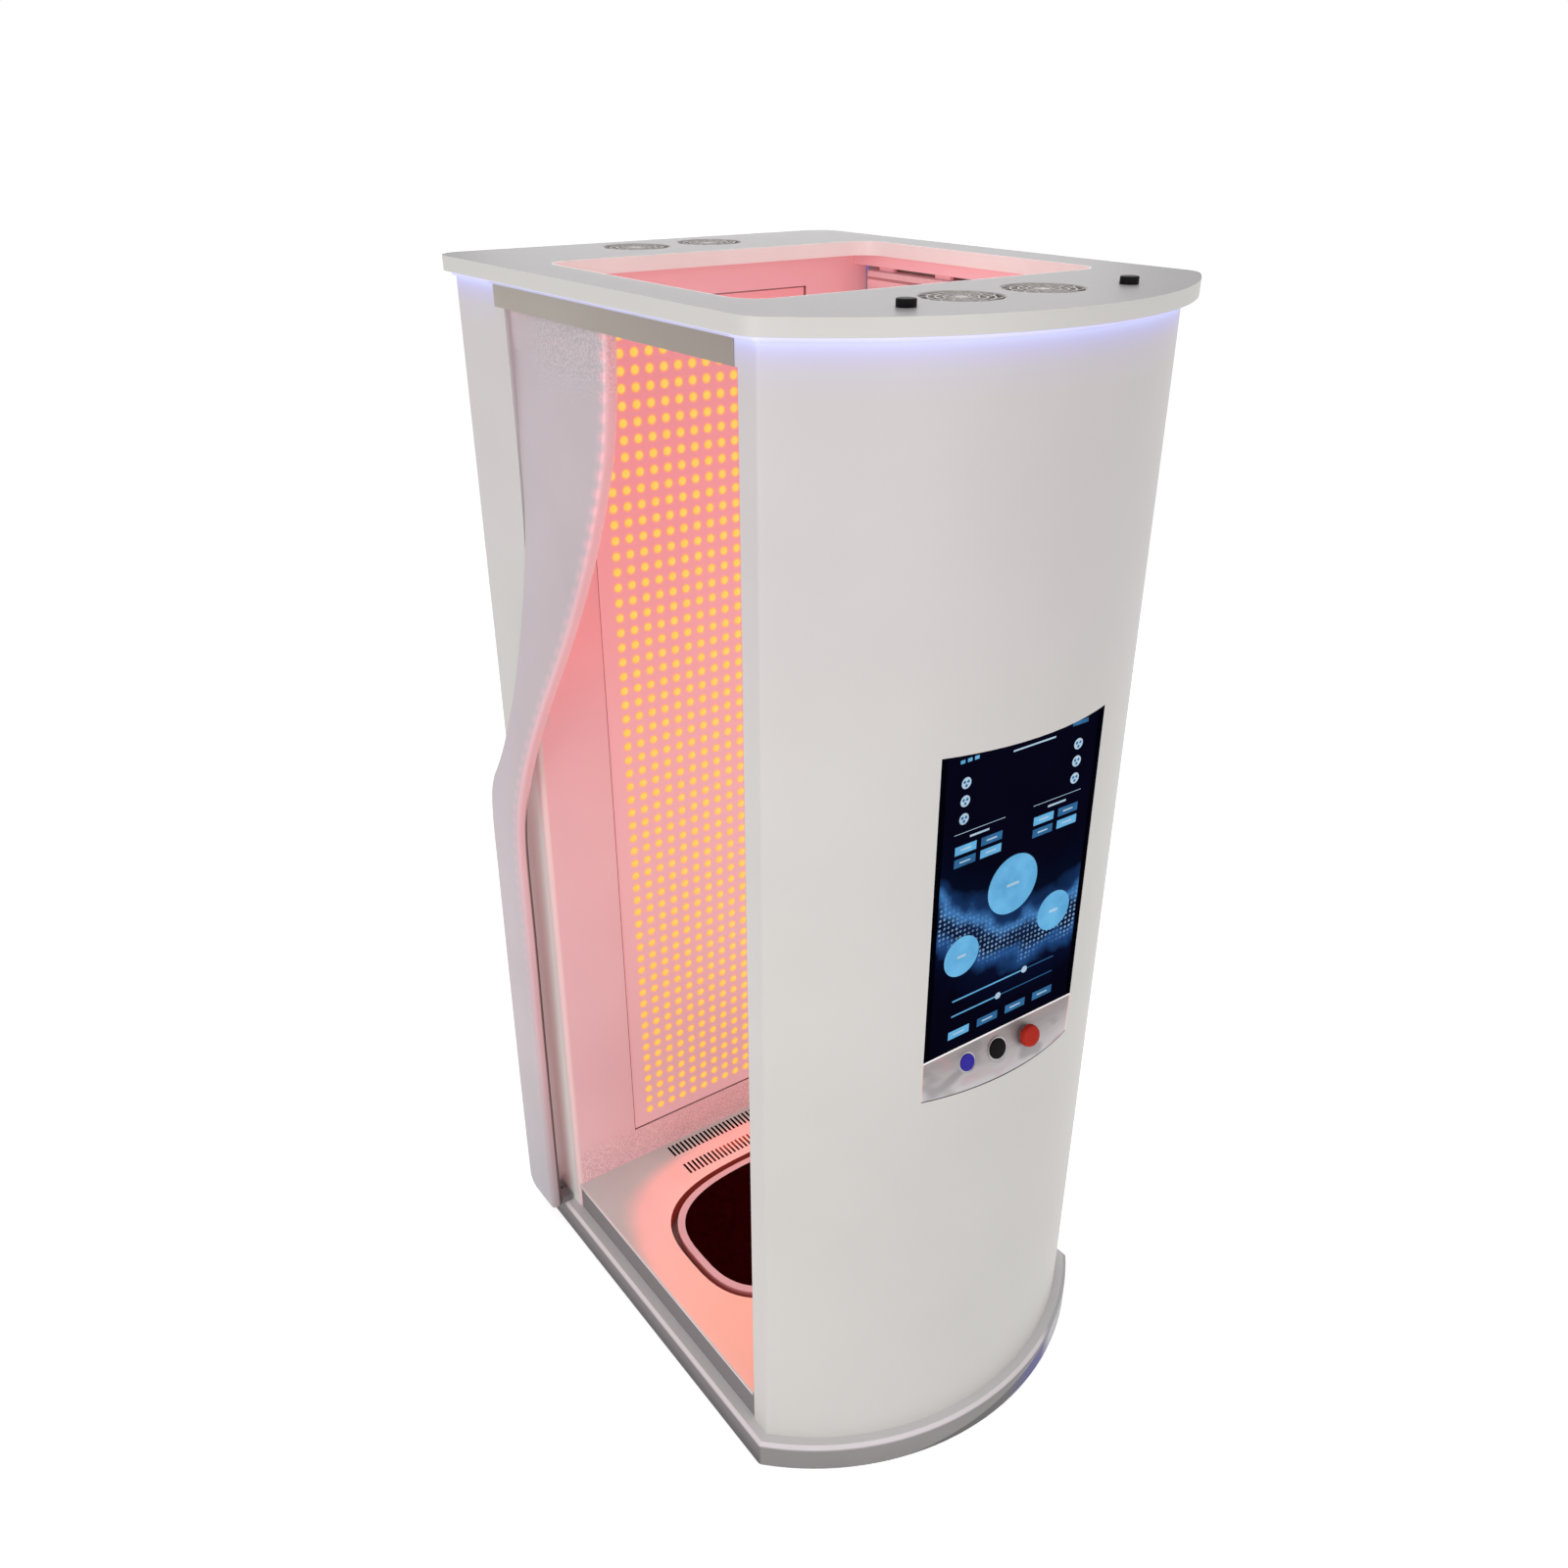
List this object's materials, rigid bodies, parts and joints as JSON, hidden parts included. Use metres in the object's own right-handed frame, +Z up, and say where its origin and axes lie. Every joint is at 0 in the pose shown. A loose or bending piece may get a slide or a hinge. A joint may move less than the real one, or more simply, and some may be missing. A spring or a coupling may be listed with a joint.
{
  "type": "stand-up red light therapy booth",
  "caption": "Walk-in booth for standing red light sessions: lit inner walls, sliding side leaves, lifting platform, roof fans and a touch screen on the bowed end.",
  "frame": {"origin": "on the floor, at the middle of the plinth", "axes": "+Z up, +X towards the bowed end with the screen, -Y towards the doorway seen in the picture"},
  "size_m": [1.1159, 0.9, 2.1045],
  "materials": {
    "white_shell": "satin moulded",
    "top_white": "satin moulded",
    "plinth_grey": "satin powder coat",
    "zinc": "zinc plated",
    "taupe_metal": "brushed, warm tint",
    "leaf_lilac": "satin",
    "cabin_pink": "satin white under red light",
    "light_panel": "diffusing cover",
    "lamp_amber": "clear domes, lit",
    "light_strip": "opal, lit",
    "light_liner": "opal, lit",
    "black_plastic": "moulded",
    "rubber_mat": "fine ribbed",
    "screen_glass": "polished, black backed glass",
    "brushed_panel": "brushed",
    "aluminium": "extruded",
    "nylon": "moulded",
    "button_blue": "lit cap",
    "button_black": "moulded cap",
    "button_red": "moulded mushroom head"
  },
  "bodies": {
    "booth": {"plinth_tray": "plinth_grey", "levelling_feet": "black_plastic", "floor_frame": "zinc", "floor_ducts": "zinc", "floor_deck": "cabin_pink", "floor_edge_trims": "light_liner", "lift_column_outer": "zinc", "lift_actuator": "black_plastic", "back_shell": "white_shell", "back_frame": "zinc", "service_panel": "white_shell", "service_screws": "zinc", "power_inlet": "black_plastic", "power_supplies": "zinc", "back_inner_wall": "cabin_pink", "back_led_board": "light_panel", "back_led_lenses": "lamp_amber", "back_heat_sink": "aluminium", "bow_shell": "white_shell", "bow_frame": "zinc", "bow_inner_wall": "cabin_pink", "bow_led_board": "light_panel", "bow_led_lenses": "lamp_amber", "bow_heat_sink": "aluminium", "screen_surround": "brushed_panel", "screen_glass": "screen_glass", "display_module": "black_plastic", "display_bracket": "zinc", "control_box": "zinc", "button_panel": "brushed_panel", "button_bezels": "brushed_panel", "switch_bodies": "black_plastic", "front_header": "taupe_metal", "rear_header": "taupe_metal", "front_track": "cabin_pink", "rear_track": "cabin_pink", "top_plate": "top_white", "skylight_liner": "light_liner", "accent_light": "light_strip", "top_caps": "black_plastic", "fan_frames": "black_plastic", "fan_grilles": "aluminium"},
    "platform": {"lift_column_inner": "aluminium", "lift_rod": "aluminium", "platform_tray": "zinc", "platform_ring": "cabin_pink", "standing_mat": "rubber_mat"},
    "front_leaf_set": {"front_leaf": "leaf_lilac", "front_hangers": "nylon", "front_glides": "nylon"},
    "rear_leaf_set": {"rear_leaf": "leaf_lilac", "rear_hangers": "nylon", "rear_glides": "nylon"},
    "fan_1": {"fan_rotor_1": "black_plastic"},
    "fan_2": {"fan_rotor_2": "black_plastic"},
    "fan_3": {"fan_rotor_3": "black_plastic"},
    "fan_4": {"fan_rotor_4": "black_plastic"},
    "blue_push": {"blue_button": "button_blue"},
    "black_push": {"black_button": "button_black"},
    "stop_push": {"stop_button": "button_red"}
  },
  "joints": [
    {"name": "platform_lift", "type": "slide", "parent": "booth", "child": "platform", "axis": [0, 0, 1], "range_m": [0, 0.06]},
    {"name": "front_leaf_slide", "type": "slide", "parent": "booth", "child": "front_leaf_set", "axis": [1, 0, 0], "range_m": [0, 0.34]},
    {"name": "rear_leaf_slide", "type": "slide", "parent": "booth", "child": "rear_leaf_set", "axis": [1, 0, 0], "range_m": [0, 0.34]},
    {"name": "fan_1_spin", "type": "hinge", "parent": "booth", "child": "fan_1", "pos_m": [0.389, -0.076, 2.058], "axis": [0, 0, 1], "continuous": true},
    {"name": "fan_2_spin", "type": "hinge", "parent": "booth", "child": "fan_2", "pos_m": [0.389, 0.076, 2.058], "axis": [0, 0, 1], "continuous": true},
    {"name": "fan_3_spin", "type": "hinge", "parent": "booth", "child": "fan_3", "pos_m": [-0.457, -0.076, 2.058], "axis": [0, 0, 1], "continuous": true},
    {"name": "fan_4_spin", "type": "hinge", "parent": "booth", "child": "fan_4", "pos_m": [-0.457, 0.076, 2.058], "axis": [0, 0, 1], "continuous": true},
    {"name": "blue_button_press", "type": "slide", "parent": "booth", "child": "blue_push", "axis": [-0.9588, 0, -0.284], "range_m": [0, 0.0025], "stiffness_N_per_m": 900, "springref_m": -0.001},
    {"name": "black_button_press", "type": "slide", "parent": "booth", "child": "black_push", "axis": [-0.9588, 0, -0.284], "range_m": [0, 0.0025], "stiffness_N_per_m": 900, "springref_m": -0.001},
    {"name": "stop_button_press", "type": "slide", "parent": "booth", "child": "stop_push", "axis": [-0.9588, 0, -0.284], "range_m": [0, 0.005]}
  ]
}
